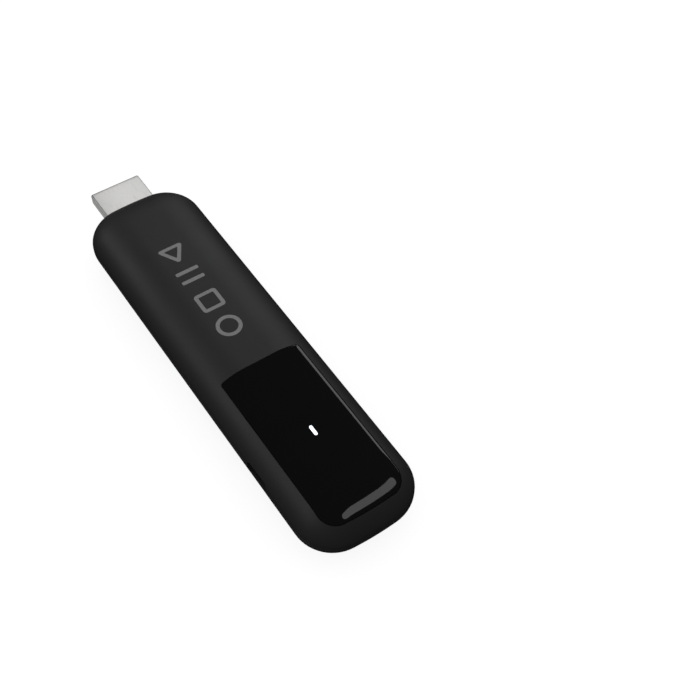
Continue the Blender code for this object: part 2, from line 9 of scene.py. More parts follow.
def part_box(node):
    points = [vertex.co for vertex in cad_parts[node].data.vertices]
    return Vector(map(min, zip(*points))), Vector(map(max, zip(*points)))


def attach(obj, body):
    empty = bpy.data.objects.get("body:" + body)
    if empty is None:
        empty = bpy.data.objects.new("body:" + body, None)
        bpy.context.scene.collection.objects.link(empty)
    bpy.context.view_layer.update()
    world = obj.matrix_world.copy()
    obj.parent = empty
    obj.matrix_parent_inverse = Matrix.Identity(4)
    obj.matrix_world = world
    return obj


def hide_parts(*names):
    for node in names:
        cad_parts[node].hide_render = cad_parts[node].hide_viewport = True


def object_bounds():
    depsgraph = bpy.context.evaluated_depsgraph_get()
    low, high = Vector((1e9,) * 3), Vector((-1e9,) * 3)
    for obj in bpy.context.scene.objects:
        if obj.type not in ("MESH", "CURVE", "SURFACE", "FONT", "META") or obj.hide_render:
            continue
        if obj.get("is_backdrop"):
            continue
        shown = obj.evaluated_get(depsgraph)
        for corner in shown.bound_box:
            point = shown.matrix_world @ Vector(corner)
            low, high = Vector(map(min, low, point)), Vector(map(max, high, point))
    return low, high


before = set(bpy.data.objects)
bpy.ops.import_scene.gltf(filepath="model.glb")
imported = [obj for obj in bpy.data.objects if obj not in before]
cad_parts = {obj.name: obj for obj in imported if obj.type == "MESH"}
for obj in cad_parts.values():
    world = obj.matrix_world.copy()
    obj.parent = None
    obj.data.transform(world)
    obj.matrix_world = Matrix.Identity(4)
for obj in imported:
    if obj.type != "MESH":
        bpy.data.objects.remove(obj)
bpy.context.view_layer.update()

MM = 0.001
WHITE = (1.0, 1.0, 1.0)
BLACK = (0.0, 0.0, 0.0)

# ---- circuit board ------------------------------------------------------------------------------
# The board carries every chip and both connectors.  It is glass-fibre laminate with a green
# solder resist over etched copper tracks, and two screws pull it up against the front shell.


class Value:
    """One shader socket that can stand in a sum; each sum adds one Math node."""

    def __init__(self, finish, socket):
        self.finish = finish
        self.socket = socket

    def work(self, operation, first, second):
        return self.finish.node("ShaderNodeMath", {"operation": operation}, {0: first, 1: second})

    def __add__(self, other):
        return self.work("ADD", self, other)

    def __radd__(self, other):
        return self.work("ADD", other, self)

    def __sub__(self, other):
        return self.work("SUBTRACT", self, other)

    def __rsub__(self, other):
        return self.work("SUBTRACT", other, self)

    def __mul__(self, other):
        return self.work("MULTIPLY", self, other)

    def __rmul__(self, other):
        return self.work("MULTIPLY", other, self)

    def __mod__(self, other):
        return self.work("FLOORED_MODULO", self, other)

    def __lt__(self, other):
        return self.work("LESS_THAN", self, other)

    def __gt__(self, other):
        return self.work("GREATER_THAN", self, other)

    def __abs__(self):
        return self.work("ABSOLUTE", self, 0.0)


class Finish:
    """A surface finish: constants on its one shader, and patterns that nodes feed to it."""

    def __init__(self, name, roughness, metallic=0.0, **constants):
        self.material = bpy.data.materials.new(name)
        self.material.use_nodes = True
        self.tree = self.material.node_tree
        self.shader = self.tree.nodes["Principled BSDF"]
        self.give(self.shader, "Roughness", roughness)
        self.give(self.shader, "Metallic", metallic)
        for key, value in constants.items():
            self.give(self.shader, key.replace("_", " "), value)
        self.place = self.node("ShaderNodeTexCoord", {}, {}, "Object")

    def give(self, node, key, value):
        socket = node.inputs[key]
        if isinstance(value, Value):
            self.tree.links.new(value.socket, socket)
        elif socket.type == "RGBA" and len(value) == 3:
            socket.default_value = (*value, 1.0)
        else:
            socket.default_value = value

    def node(self, kind, settings, inputs, output=0):
        node = self.tree.nodes.new(kind)
        for key, value in settings.items():
            if key == "stops":
                for stop, (position, grey) in zip(node.color_ramp.elements, value):
                    stop.position = position
                    stop.color = (grey, grey, grey, 1.0)
            else:
                setattr(node, key, value)
        for key, value in inputs.items():
            self.give(node, key, value)
        return Value(self, node.outputs[output])

    def noise(self, per_mm, detail=2.0, place=None):
        """Noise from 0 to 1, with a given count of lumps to the millimetre."""
        inputs = {"Vector": place or self.place, "Scale": per_mm / MM, "Detail": detail}
        return self.node("ShaderNodeTexNoise", {}, inputs)

    def stretched(self, x, y, z):
        """The place with each axis scaled, for a pattern that runs one way."""
        return self.node("ShaderNodeMapping", {}, {"Vector": self.place, "Scale": (x, y, z)})

    def along(self, axis):
        return self.node("ShaderNodeSeparateXYZ", {}, {0: self.place}, axis)

    def blend(self, share, first, second):
        inputs = {0: share, 6: first, 7: second}
        return self.node("ShaderNodeMix", {"data_type": "RGBA"}, inputs, 2)

    def ramp(self, value, low, high):
        """A value clipped and stretched so that low becomes 0 and high becomes 1."""
        stops = [(low, 0.0), (high, 1.0)]
        return self.node("ShaderNodeValToRGB", {"stops": stops}, {0: value})

    def colour(self, value):
        self.give(self.shader, "Base Color", value)

    def roughness(self, value):
        self.give(self.shader, "Roughness", value)

    def glow(self, value):
        self.give(self.shader, "Emission Color", value)

    def relief(self, height, depth, strength=1.0):
        """Relief whose height from 0 to 1 stands for a given depth in metres."""
        inputs = {"Height": height, "Distance": depth, "Strength": strength}
        self.give(self.shader, "Normal", self.node("ShaderNodeBump", {}, inputs))


def dress(finish, *names):
    """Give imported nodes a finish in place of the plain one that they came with."""
    for name in names:
        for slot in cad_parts[name].material_slots:
            slot.material = finish.material


resist = Finish("solder_resist", 0.4, Coat_Weight=0.25)
cells = resist.node(
    "ShaderNodeTexVoronoi",
    {"feature": "DISTANCE_TO_EDGE", "distance": "EUCLIDEAN"},
    {"Vector": resist.stretched(1.0, 0.45, 1.0), "Scale": 0.55 / MM},
)
pads = resist.node(
    "ShaderNodeTexVoronoi", {"feature": "F1"}, {"Vector": resist.place, "Scale": 0.7 / MM}
)
tracks = cells < 0.05
resist_green = resist.blend(tracks, (0.006, 0.06, 0.026), (0.012, 0.13, 0.055))
resist.colour(resist.blend(pads < 0.16, resist_green, (0.55, 0.54, 0.5)))
resist.roughness(0.36 + 0.14 * resist.noise(0.8))
resist.relief(tracks, 0.02 * MM, 0.6)
dress(resist, "main_board")

# ---- chips and small components -----------------------------------------------------------------
# Processor, memory, storage and power chips are black epoxy packages; the crystal and the radio
# module have tinned lids, the inductors are sintered ferrite, and the aerials are gilt ceramic.

epoxy = Finish("chip_epoxy", 0.4)
epoxy_grain = epoxy.noise(9.0, 4.0)
epoxy.colour(epoxy.blend(epoxy.noise(0.5), (0.016, 0.016, 0.018), (0.028, 0.028, 0.031)))
epoxy.roughness(0.34 + 0.2 * epoxy_grain)
epoxy.relief(epoxy_grain, 0.006 * MM)
dress(epoxy, "processor_chip", "memory_chip", "storage_chip", "power_chip")

ferrite = Finish("sintered_ferrite", 0.6)
ferrite_grain = ferrite.noise(6.0, 5.0)
ferrite.colour(ferrite.blend(ferrite_grain, (0.045, 0.045, 0.05), (0.11, 0.105, 0.1)))
ferrite.roughness(0.5 + 0.25 * ferrite_grain)
ferrite.relief(ferrite_grain, 0.02 * MM)
dress(ferrite, "power_inductor_1", "power_inductor_2")

tinned = Finish("tinned_steel", 0.35, 1.0)
tin_roll = tinned.noise(3.0, 3.0, tinned.stretched(1.0, 0.08, 1.0))
tin_cloud = tinned.noise(0.25, 3.0)
tinned.colour(tinned.blend(tin_cloud, (0.5, 0.5, 0.49), (0.66, 0.655, 0.64)))
tinned.roughness(0.26 + 0.12 * tin_roll + 0.1 * tin_cloud)
tinned.relief(tin_roll, 0.004 * MM)
dress(tinned, "wireless_module", "clock_crystal", "front_shield_can", "rear_shield_can")

aerial = Finish("gilt_aerial", 0.3, 0.6)
aerial_bands = abs((aerial.along("Y") * (1 / MM)) % 1.1 - 0.55) < 0.16
aerial_glaze = aerial.blend(aerial.noise(1.4), (0.7, 0.69, 0.64), (0.8, 0.79, 0.75))
aerial.colour(aerial.blend(aerial_bands, aerial_glaze, (0.83, 0.6, 0.26)))
aerial.roughness(0.28 + 0.1 * aerial.noise(4.0))
dress(aerial, "wifi_antenna", "bluetooth_antenna")

# ---- cooling stack and screws -------------------------------------------------------------------
# A grey-blue silicone pad fills the gap over each shield can and carries a brushed aluminium
# plate that spreads the heat; the screws are blackened steel, turned and then rolled.

silicone = Finish("thermal_silicone", 0.8)
silicone_lumps = silicone.noise(2.2, 4.0)
silicone.colour(silicone.blend(silicone_lumps, (0.28, 0.35, 0.47), (0.4, 0.47, 0.6)))
silicone.roughness(0.7 + 0.2 * silicone_lumps)
silicone.relief(silicone_lumps, 0.03 * MM)
dress(silicone, "processor_thermal_pad", "front_thermal_pad", "rear_thermal_pad")

brushed = Finish("brushed_aluminium", 0.4, 1.0)
brush_lines = brushed.noise(12.0, 3.0, brushed.stretched(1.0, 0.02, 1.0))
brushed.colour(brushed.blend(brush_lines, (0.62, 0.62, 0.63), (0.78, 0.78, 0.79)))
brushed.roughness(0.3 + 0.2 * brush_lines)
brushed.relief(brush_lines, 0.005 * MM)
dress(brushed, "front_heat_spreader", "rear_heat_spreader")

blackened = Finish("blackened_steel", 0.35, 1.0)
blackened_wear = blackened.ramp(blackened.noise(1.6, 5.0), 0.52, 0.66)
blackened.colour(blackened.blend(blackened_wear, (0.12, 0.12, 0.125), (0.42, 0.42, 0.42)))
blackened.roughness(0.4 - 0.14 * blackened_wear)
thread_turns = abs((blackened.along("Z") * (1 / MM)) % 0.4 - 0.2) * 5.0
blackened.relief(thread_turns, 0.12 * MM)
dress(blackened, "board_screw_1", "board_screw_2")

# ---- video plug ---------------------------------------------------------------------------------
# The plug's shell is nickel-plated steel strip, folded to a tube whose rear corners are chamfered
# and pressed in a little at the mouth; two latch holes are pierced through its rear face.

PLUG_LOW, PLUG_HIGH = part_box("video_plug_shell")
PLUG_HALF_WIDTH = PLUG_HIGH.x
PLUG_HALF_HEIGHT = (PLUG_HIGH.z - PLUG_LOW.z) / 2
PLUG_CHAMFER = 1.4 * MM
PLUG_WALL = 0.3 * MM
SHEET_EDGE = 0.05 * MM
SEAM_Z = (PLUG_HIGH.z + PLUG_LOW.z) / 2
PLUG_BEND = 0.5 * MM
PLUG_REACH = 8.6 * MM
NEAR_Y = PLUG_HIGH.y - PLUG_REACH  # the end of the body that the plug comes out of
SLEEVE_STEPS = (0.25, 0.35, 0.5, 11.0, 3.0)  # mm, from the mouth toward the board
MOUTH_TAPER = ((0.0, 0.965), (0.25 * MM, 0.985))  # distance back, and share of the full height
LATCH_X = 2.7 * MM
LATCH_Y = NEAR_Y + 3.4 * MM
LATCH_HALF_WIDTH = 0.5 * MM
LATCH_HALF_LENGTH = 0.36 * MM


def new_verts(made):
    """The vertices among what an operator says that it made."""
    return [item for item in made if isinstance(item, bmesh.types.BMVert)]


def make_piece(name, bm, finish, slot, *nodes):
    """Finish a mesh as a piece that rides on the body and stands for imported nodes."""
    mesh = bpy.data.meshes.new(name)
    bm.to_mesh(mesh)
    bm.free()
    piece = bpy.data.objects.new(name, mesh)
    bpy.context.scene.collection.objects.link(piece)
    mesh.shade_smooth()
    if finish:
        mesh.materials.append(finish.material)
        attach(piece, "root")
        if nodes:
            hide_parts(*nodes)
    return piece


def settle(piece, sharp=35.0):
    """Keep what the modifiers make as the mesh, with creases where faces meet at an angle."""
    graph = bpy.context.evaluated_depsgraph_get()
    settled = bpy.data.meshes.new_from_object(piece.evaluated_get(graph))
    settled.name = piece.name
    rough = piece.data
    piece.modifiers.clear()
    piece.data = settled
    bpy.data.meshes.remove(rough)
    settled.shade_smooth()
    settled.set_sharp_from_angle(angle=math.radians(sharp))


def wall(piece, thickness, offset=-1.0):
    modifier = piece.modifiers.new("wall", "SOLIDIFY")
    modifier.thickness = thickness
    modifier.offset = offset
    modifier.use_even_offset = True


def soften(piece, width, segments=2, limit=40.0):
    modifier = piece.modifiers.new("soft edge", "BEVEL")
    modifier.width = width
    modifier.segments = segments
    modifier.limit_method = "ANGLE"
    modifier.angle_limit = math.radians(limit)
    modifier.harden_normals = False


def rounded_face(bm, corners, radius, steps=4):
    """A flat face through a few corners, each rounded off from a given distance."""
    others = set(bm.faces)
    face = bm.faces.new([bm.verts.new(corner) for corner in corners])
    bmesh.ops.bevel(
        bm,
        geom=list(face.verts),
        offset=radius,
        segments=steps,
        profile=0.5,
        affect="VERTICES",
        material=-1,
    )
    return next(face for face in bm.faces if face not in others)


def drawn_out(bm, face, move):
    """Extrude a face into a solid."""
    made = bmesh.ops.extrude_face_region(bm, geom=[face])["geom"]
    bmesh.ops.translate(bm, vec=move, verts=new_verts(made))
    bmesh.ops.recalc_face_normals(bm, faces=bm.faces)


def plug_corners(grow, y):
    """Section of the plug, full width at the front and chamfered toward the rear."""
    wide = PLUG_HALF_WIDTH + grow
    high = PLUG_HALF_HEIGHT + grow
    return [
        (-wide, y, SEAM_Z - high + PLUG_CHAMFER),
        (-wide + PLUG_CHAMFER, y, SEAM_Z - high),
        (wide - PLUG_CHAMFER, y, SEAM_Z - high),
        (wide, y, SEAM_Z - high + PLUG_CHAMFER),
        (wide, y, SEAM_Z + high),
        (-wide, y, SEAM_Z + high),
    ]


nickel = Finish("satin_nickel", 0.32, 1.0)
nickel_cloud = nickel.noise(0.35, 4.0)
nickel_roll = nickel.noise(5.0, 3.0, nickel.stretched(1.0, 0.1, 1.0))
nickel_rub = nickel.ramp(nickel.noise(1.1, 6.0, nickel.stretched(1.0, 0.3, 1.0)), 0.55, 0.75)
nickel_tone = nickel.blend(nickel_cloud, (0.66, 0.655, 0.645), (0.76, 0.755, 0.745))
nickel.colour(nickel.blend(nickel_rub * 0.5, nickel_tone, (0.55, 0.54, 0.53)))
nickel.roughness(0.24 + 0.1 * nickel_cloud + 0.1 * nickel_roll)
nickel.relief(nickel_roll, 0.006 * MM, 0.7)

bm = bmesh.new()
section = rounded_face(bm, plug_corners(0.0, PLUG_HIGH.y), PLUG_BEND)
lip = list(section.edges)
bmesh.ops.delete(bm, geom=[section], context="FACES_ONLY")
for length in SLEEVE_STEPS:
    drawn = bmesh.ops.extrude_edge_only(bm, edges=lip)["geom"]
    bmesh.ops.translate(bm, vec=(0, -length * MM, 0), verts=new_verts(drawn))
    lip = [item for item in drawn if isinstance(item, bmesh.types.BMEdge)]
for back, narrow in MOUTH_TAPER:
    mouth = [v for v in bm.verts if abs(v.co.y - PLUG_HIGH.y + back) < 0.05 * MM]
    middle = Matrix.Translation((0, 0, -SEAM_Z))
    taper = (1 - (1 - narrow) * PLUG_HALF_HEIGHT / PLUG_HALF_WIDTH, 1.0, narrow)
    bmesh.ops.scale(bm, vec=taper, space=middle, verts=mouth)
latch_planes = [((0, LATCH_Y + s * LATCH_HALF_LENGTH, 0), (0, 1, 0)) for s in (-1, 1)]
for side in (-LATCH_X, LATCH_X):
    for s in (-1, 1):
        latch_planes.append(((side + s * LATCH_HALF_WIDTH, 0, 0), (1, 0, 0)))
for point, direction in latch_planes:
    under = [f for f in bm.faces if f.calc_center_median().z < PLUG_LOW.z + 0.05 * MM]
    edges = list({edge for face in under for edge in face.edges})
    verts = list({vert for face in under for vert in face.verts})
    cut = under + edges + verts
    bmesh.ops.bisect_plane(bm, geom=cut, plane_co=point, plane_no=direction)
pierced = []
for face in bm.faces:
    centre = face.calc_center_median()
    across = abs(abs(centre.x) - LATCH_X) < LATCH_HALF_WIDTH
    if across and abs(centre.y - LATCH_Y) < LATCH_HALF_LENGTH and centre.z < SEAM_Z:
        pierced.append(face)
bmesh.ops.delete(bm, geom=pierced, context="FACES")
bmesh.ops.recalc_face_normals(bm, faces=bm.faces)
plug_shell = make_piece("video_plug_sleeve", bm, nickel, "plug_metal", "video_plug_shell")
wall(plug_shell, PLUG_WALL)
soften(plug_shell, SHEET_EDGE, 2, 50.0)
settle(plug_shell)

# ---- plug insulator and contacts ----------------------------------------------------------------
# A black moulded block fills the plug round a flat slot.  Nineteen gold-plated spring strips lie
# in its two faces, ten toward the front and nine toward the rear, each with a curved tip.

SLOT_HALF_WIDTH = 5.8 * MM
SLOT_HALF_HEIGHT = 0.85 * MM
SLOT_DEPTH = 9.5 * MM
INSULATOR_GAP = 0.36 * MM
INSULATOR_SETBACK = 0.4 * MM
INSULATOR_LENGTH = 14.3 * MM
CONTACT_WIDTH = 0.4 * MM
CONTACT_THICKNESS = 0.12 * MM
CONTACT_BED = 0.075 * MM
CONTACT_HUMP = 0.22 * MM
SPRING_PATH = (
    (0.03, 0.5),
    (0.04, 0.9),
    (0.05, 1.0),
    (0.06, 0.8),
    (0.07, 0.35),
    (0.1, 0.0),
    (0.65, 0.0),
)  # share of the length, and share of the hump reached there


def oblong(low, high, place):
    """Corners of a rectangle, each put in space by what place does with its two measures."""
    return [place(*pair) for pair in (low, (high[0], low[1]), high, (low[0], high[1]))]


def cut_away(piece, tool, operation="DIFFERENCE"):
    """Take a tool's shape out of a piece, or add it, and throw the tool away."""
    modifier = piece.modifiers.new("cut", "BOOLEAN")
    modifier.operation = operation
    modifier.object = tool
    modifier.solver = "EXACT"
    settle(piece)
    bpy.data.objects.remove(tool)


resin = Finish("black_resin", 0.5)
resin_grain = resin.noise(7.0, 4.0)
resin.colour(resin.blend(resin.noise(0.6), (0.009, 0.009, 0.01), (0.018, 0.018, 0.019)))
resin.roughness(0.42 + 0.2 * resin_grain)
resin.relief(resin_grain, 0.008 * MM)

bm = bmesh.new()
block_corners = plug_corners(-INSULATOR_GAP, PLUG_HIGH.y - INSULATOR_SETBACK)
drawn_out(bm, rounded_face(bm, block_corners, 0.3 * MM), (0, -INSULATOR_LENGTH, 0))
insulator = make_piece("plug_insulator", bm, resin, "black_resin", "video_plug_insulator")
bm = bmesh.new()
slot_mouth = oblong(
    (-SLOT_HALF_WIDTH, SEAM_Z - SLOT_HALF_HEIGHT),
    (SLOT_HALF_WIDTH, SEAM_Z + SLOT_HALF_HEIGHT),
    lambda x, z: (x, PLUG_HIGH.y + MM, z),
)
drawn_out(bm, rounded_face(bm, slot_mouth, 0.15 * MM, 2), (0, -SLOT_DEPTH - MM, 0))
cut_away(insulator, make_piece("slot_tool", bm, None, None))
soften(insulator, 0.08 * MM, 2, 50.0)
settle(insulator)

gold = Finish("contact_gold", 0.25, 1.0)
gold_roll = gold.noise(6.0, 3.0, gold.stretched(1.0, 0.1, 1.0))
gold.colour(gold.blend(gold.noise(0.9), (0.8, 0.56, 0.23), (0.92, 0.7, 0.34)))
gold.roughness(0.18 + 0.18 * gold_roll)
gold.relief(gold_roll, 0.003 * MM)


def spring_strip(bm, start, width_way, width, run, lift):
    """A flat strip pressed up near its tip; run goes from tip to root, lift is the hump."""
    half = Vector(width_way) * (width / 2)
    tip = bm.edges.new((bm.verts.new(start - half), bm.verts.new(start + half)))
    edge = tip
    height = 0.0
    for share, rise in SPRING_PATH:
        drawn = bmesh.ops.extrude_edge_only(bm, edges=[edge])["geom"]
        move = Vector(run) * share + Vector(lift) * (rise - height)
        bmesh.ops.translate(bm, vec=move, verts=new_verts(drawn))
        edge = next(item for item in drawn if isinstance(item, bmesh.types.BMEdge))
        height = rise


for row, side, numbers in (("front", 1, range(1, 20, 2)), ("rear", -1, range(2, 20, 2))):
    bm = bmesh.new()
    for number in numbers:
        low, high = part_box(f"video_contact_{number:02d}")
        bed = high.z if side > 0 else low.z
        start = Vector(((low.x + high.x) / 2, high.y, bed - side * CONTACT_BED))
        run = (0, low.y - high.y, 0)
        spring_strip(bm, start, (1, 0, 0), CONTACT_WIDTH, run, (0, 0, -side * CONTACT_HUMP))
    bmesh.ops.recalc_face_normals(bm, faces=bm.faces)
    names = [f"video_contact_{number:02d}" for number in numbers]
    strips = make_piece(f"video_contacts_{row}", bm, gold, "gold", *names)
    wall(strips, CONTACT_THICKNESS, 0.0)
    soften(strips, 0.025 * MM, 1, 50.0)
    settle(strips)

dress(nickel, "video_plug_rear_cover")

# ---- power socket -------------------------------------------------------------------------------
# The socket is a small folded steel tube, wider toward the front, set back behind its cut-out in
# the left side.  A black tongue with five gold strips stands off its front wall.

SOCKET_LOW, SOCKET_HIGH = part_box("power_socket_shell")
SOCKET_Y = (SOCKET_LOW.y + SOCKET_HIGH.y) / 2
SOCKET_CHAMFER = 0.9 * MM
SOCKET_BEND = 0.35 * MM
SOCKET_WALL = 0.25 * MM
POWER_CONTACTS = range(1, 6)
POWER_CONTACT_THICKNESS = 0.1 * MM
POWER_CONTACT_HUMP = 0.1 * MM

# The tube's colour is kept dark: partly dulled plating, partly painted shade for the recess behind
# the cut-out.
shaded_dull_nickel = Finish("dulled_nickel", 0.4, 1.0)
dulled_cloud = shaded_dull_nickel.noise(0.8, 4.0)
shaded_dull_nickel.colour(shaded_dull_nickel.blend(dulled_cloud, (0.2, 0.2, 0.2), (0.34, 0.335, 0.33)))
shaded_dull_nickel.roughness(0.34 + 0.16 * dulled_cloud)
shaded_dull_nickel.relief(shaded_dull_nickel.noise(5.0, 3.0, shaded_dull_nickel.stretched(0.1, 1.0, 1.0)), 0.005 * MM)

bm = bmesh.new()
x = SOCKET_LOW.x
socket_corners = [
    (x, SOCKET_HIGH.y, SOCKET_HIGH.z),
    (x, SOCKET_LOW.y, SOCKET_HIGH.z),
    (x, SOCKET_LOW.y, SOCKET_LOW.z + SOCKET_CHAMFER),
    (x, SOCKET_LOW.y + SOCKET_CHAMFER, SOCKET_LOW.z),
    (x, SOCKET_HIGH.y - SOCKET_CHAMFER, SOCKET_LOW.z),
    (x, SOCKET_HIGH.y, SOCKET_LOW.z + SOCKET_CHAMFER),
]
section = rounded_face(bm, socket_corners, SOCKET_BEND)
lip = list(section.edges)
bmesh.ops.delete(bm, geom=[section], context="FACES_ONLY")
drawn = bmesh.ops.extrude_edge_only(bm, edges=lip)["geom"]
bmesh.ops.translate(bm, vec=(SOCKET_HIGH.x - SOCKET_LOW.x, 0, 0), verts=new_verts(drawn))
bmesh.ops.recalc_face_normals(bm, faces=bm.faces)
socket = make_piece("power_socket_tube", bm, shaded_dull_nickel, "plug_metal", "power_socket_shell")
wall(socket, SOCKET_WALL)
soften(socket, SHEET_EDGE, 2, 50.0)
settle(socket)

tongue_low, tongue_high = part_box("power_socket_tongue")
bm = bmesh.new()
tongue_root = oblong(
    (tongue_low.y, tongue_low.z),
    (tongue_high.y, tongue_high.z),
    lambda y, z: (tongue_high.x, y, z),
)
drawn_out(bm, rounded_face(bm, tongue_root, 0.1 * MM, 2), (tongue_low.x - tongue_high.x, 0, 0))
tongue = make_piece("power_tongue", bm, resin, "black_resin", "power_socket_tongue")
soften(tongue, 0.12 * MM, 3, 50.0)
settle(tongue)

bm = bmesh.new()
for number in POWER_CONTACTS:
    low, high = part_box(f"power_contact_{number}")
    start = Vector((low.x, (low.y + high.y) / 2, (low.z + high.z) / 2))
    run = (high.x - low.x, 0, 0)
    spring_strip(bm, start, (0, 1, 0), high.y - low.y, run, (0, 0, -POWER_CONTACT_HUMP))
bmesh.ops.recalc_face_normals(bm, faces=bm.faces)
power_names = [f"power_contact_{number}" for number in POWER_CONTACTS]
power_strips = make_piece("power_contacts", bm, gold, "gold", *power_names)
wall(power_strips, POWER_CONTACT_THICKNESS, 0.0)
settle(power_strips)

# ---- casing shells ------------------------------------------------------------------------------
# Front and rear shells are injection moulded in black polycarbonate with a fine spark-eroded
# grain.  A lip on the rear shell closes the parting line, and the ends bow out a little.

HALF_LENGTH = 56.0 * MM
BODY_Y = NEAR_Y - HALF_LENGTH
HALF_WIDTH = 14.7 * MM
THICKNESS = 2 * SEAM_Z
CORNER_RADIUS = 9.6 * MM
FACE_CORNER_RADIUS = 1.5 * MM
END_BULGE = 1.3 * MM
END_RADIUS = (HALF_WIDTH**2 + END_BULGE**2) / (2 * END_BULGE)
SHOULDER_INSET = 10.8 * MM
SHOULDER_HEIGHT = 7.3 * MM
SIDE_STRAIGHT = SEAM_Z - SHOULDER_HEIGHT
TIGHTEN = (CORNER_RADIUS - FACE_CORNER_RADIUS) / SHOULDER_INSET
PARTING = 0.15 * MM  # half of the gap between the shells
WALL = 2.4 * MM
INNER_STRAIGHT = 1.2 * MM
INNER_SHOULDER_INSET = 8.6 * MM
# Insets and heights above the seam, from the outside of a shell to its inside.
SEAM_BEVEL = [(0.0, PARTING + 0.2 * MM), (0.17 * MM, PARTING)]
SEAM_RECESS = [(1.15 * MM, PARTING + 0.03 * MM), (1.16 * MM, 1.02 * MM), (WALL, 1.05 * MM)]
SEAM_LIP = [
    (1.25 * MM, PARTING + 0.03 * MM),
    (1.26 * MM, -0.8 * MM),
    (1.4 * MM, -0.95 * MM),
    (WALL, -0.92 * MM),
]
CORNER_STEPS = 14
BOW_STEPS = 14
SIDE_STEPS = 10
SHOULDER_STEPS = 20


def sweep(bm, start, centre, angle, steps):
    """Carry a vertex round a centre, leaving an arc behind it."""
    spun = bmesh.ops.spin(
        bm, geom=[start], cent=centre, axis=(0, 0, 1), angle=angle, steps=steps
    )
    return new_verts(spun["geom_last"])[0]


def round_end(bm, start, side_inset, end_inset, radius, way):
    """Carry an outline round one bowed end; way is 1 at the plug end and -1 at the far end."""
    corner_x, rise, bow_y = end_centres(side_inset, end_inset, radius)
    meet = math.atan2(rise, corner_x)
    z = start.co.z
    first = (way * corner_x, BODY_Y + way * (bow_y + rise), z)
    second = (-way * corner_x, BODY_Y + way * (bow_y + rise), z)
    last = sweep(bm, start, first, meet, CORNER_STEPS)
    last = sweep(bm, last, (0, BODY_Y + way * bow_y, z), math.pi - 2 * meet, BOW_STEPS)
    return sweep(bm, last, second, meet, CORNER_STEPS)


def end_centres(side_inset, end_inset, radius):
    """Where an end's corner arc is centred, above the centre of its bow."""
    corner_x = HALF_WIDTH - side_inset - radius
    rise = math.sqrt((END_RADIUS - end_inset - radius) ** 2 - corner_x**2)
    return corner_x, rise, HALF_LENGTH - END_RADIUS


def walk(bm, start, goal, steps):
    """Carry a vertex along a straight line in even steps."""
    here = start
    stride = (Vector(goal) - start.co) / steps
    for _ in range(steps):
        there = bmesh.ops.extrude_vert_indiv(bm, verts=[here])["verts"][0]
        bmesh.ops.translate(bm, vec=stride, verts=[there])
        here = there
    return here


def close_outline(bm, first, last):
    """Join the two ends of an outline and return all of its edges."""
    bmesh.ops.contextual_create(bm, geom=[last, first])
    edges = set()
    ahead = [first]
    while ahead:
        for edge in ahead.pop().link_edges:
            if edge not in edges:
                edges.add(edge)
                ahead.extend(edge.verts)
    return list(edges)


def casing_outline(bm, inset, z):
    """The body's outline at one level; its corners tighten from the seam to the flat face."""
    radius = CORNER_RADIUS - TIGHTEN * inset
    _, rise, bow_y = end_centres(inset, inset, radius)
    side_x = HALF_WIDTH - inset
    reach = bow_y + rise
    first = bm.verts.new((side_x, BODY_Y + reach, z))
    last = round_end(bm, first, inset, inset, radius, 1)
    last = walk(bm, last, (-side_x, BODY_Y - reach, z), SIDE_STEPS)
    last = round_end(bm, last, inset, inset, radius, -1)
    stop = (side_x, BODY_Y + reach - 2 * reach / SIDE_STEPS, z)
    last = walk(bm, last, stop, SIDE_STEPS - 1)
    return close_outline(bm, first, last)


def shoulder_levels(inset, wide, low, high):
    """Levels down a quarter ellipse, from the flat of a face to the top of its side."""
    for step in range(SHOULDER_STEPS + 1):
        angle = math.pi / 2 * (1 - step / SHOULDER_STEPS)
        yield inset + wide * (1 - math.cos(angle)), low + high * math.sin(angle)


def loft(bm, outlines):
    """Skin a run of outlines and close both of its ends."""
    bmesh.ops.contextual_create(bm, geom=outlines[0])
    bmesh.ops.contextual_create(bm, geom=outlines[-1])
    for lower, upper in zip(outlines, outlines[1:]):
        bmesh.ops.bridge_loops(bm, edges=lower + upper)
    bmesh.ops.recalc_face_normals(bm, faces=bm.faces)


def moulded_shell(name, side, seam_levels, plastic, node):
    """One shell, skinned from its face to the seam and back up inside; side is 1 at the front."""
    levels = list(shoulder_levels(0.0, SHOULDER_INSET, SIDE_STRAIGHT, SHOULDER_HEIGHT))
    levels += SEAM_BEVEL + seam_levels
    inner_high = SEAM_Z - WALL - INNER_STRAIGHT
    levels += list(shoulder_levels(WALL, INNER_SHOULDER_INSET, INNER_STRAIGHT, inner_high))[::-1]
    bm = bmesh.new()
    loft(bm, [casing_outline(bm, inset, SEAM_Z + side * z) for inset, z in levels])
    return make_piece(name, bm, plastic, "matt_shell", node)


def grained_plastic(name):
    """Matt black plastic: a fine even grain, soft clouding and a little handling polish."""
    finish = Finish(name, 0.5)
    grain = finish.noise(4.2, 3.0)
    fine = finish.noise(11.0, 2.0)
    handled = finish.ramp(finish.noise(0.06, 3.0), 0.4, 0.7)
    finish.roughness(0.5 + 0.1 * fine - 0.05 * handled)
    finish.relief(grain * 0.65 + fine * 0.35, 0.016 * MM)
    tone = finish.blend(finish.noise(0.05, 3.0), (0.0225, 0.0225, 0.023), (0.0285, 0.0285, 0.029))
    return finish, finish.blend(grain * 0.35, tone, (0.034, 0.034, 0.0345))


front_plastic, front_tone = grained_plastic("front_shell_plastic")
front_plastic.colour(front_tone)
front_shell = moulded_shell("casing_front", 1, SEAM_RECESS, front_plastic, "front_shell")

rear_plastic, rear_tone = grained_plastic("rear_shell_plastic")
